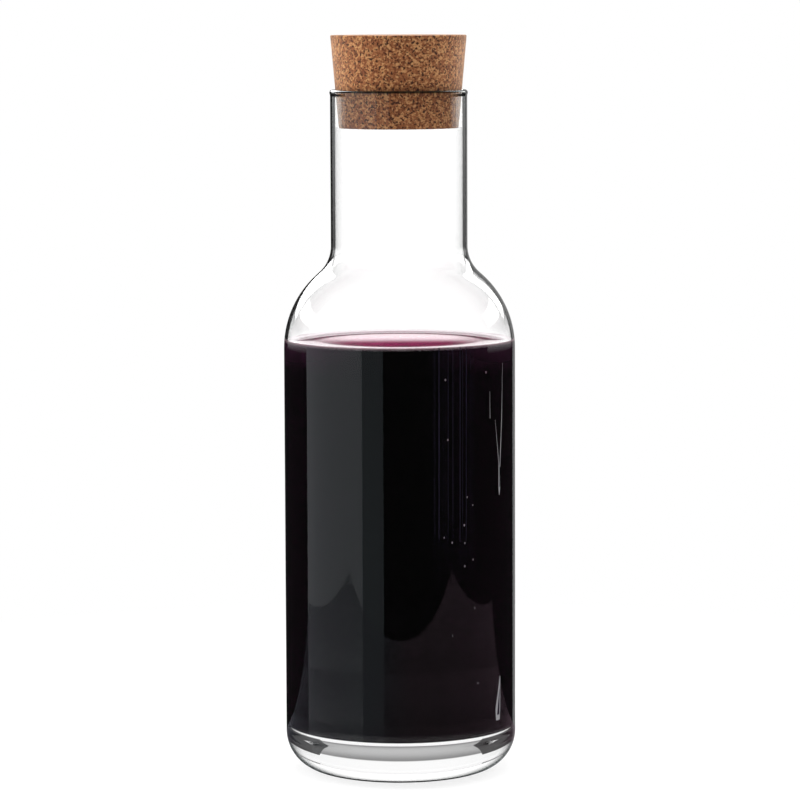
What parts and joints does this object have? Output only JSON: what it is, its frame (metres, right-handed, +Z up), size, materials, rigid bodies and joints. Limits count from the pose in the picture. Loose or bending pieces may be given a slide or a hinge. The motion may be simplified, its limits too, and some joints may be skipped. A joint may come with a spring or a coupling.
{
  "type": "carafe",
  "caption": "Clear glass carafe with a cylindrical body, round shoulder and wide straight neck, filled with dark red wine and shut with a tapered cork stopper.",
  "frame": {"origin": "on the axis, in the plane of the foot that the carafe stands on", "axes": "+Z up along the axis of the body, neck and stopper; X and Y lie in the standing plane"},
  "size_m": [0.088, 0.088, 0.2808],
  "materials": {
    "clear_glass": "clear, fire-polished",
    "dark_red_wine": "dark clear liquid with a glossy surface",
    "agglomerated_cork": "sanded granules of cork, matt"
  },
  "bodies": {
    "root": {"glass_carafe": "clear_glass", "wine": "dark_red_wine", "cork_stopper": "agglomerated_cork"}
  },
  "joints": []
}
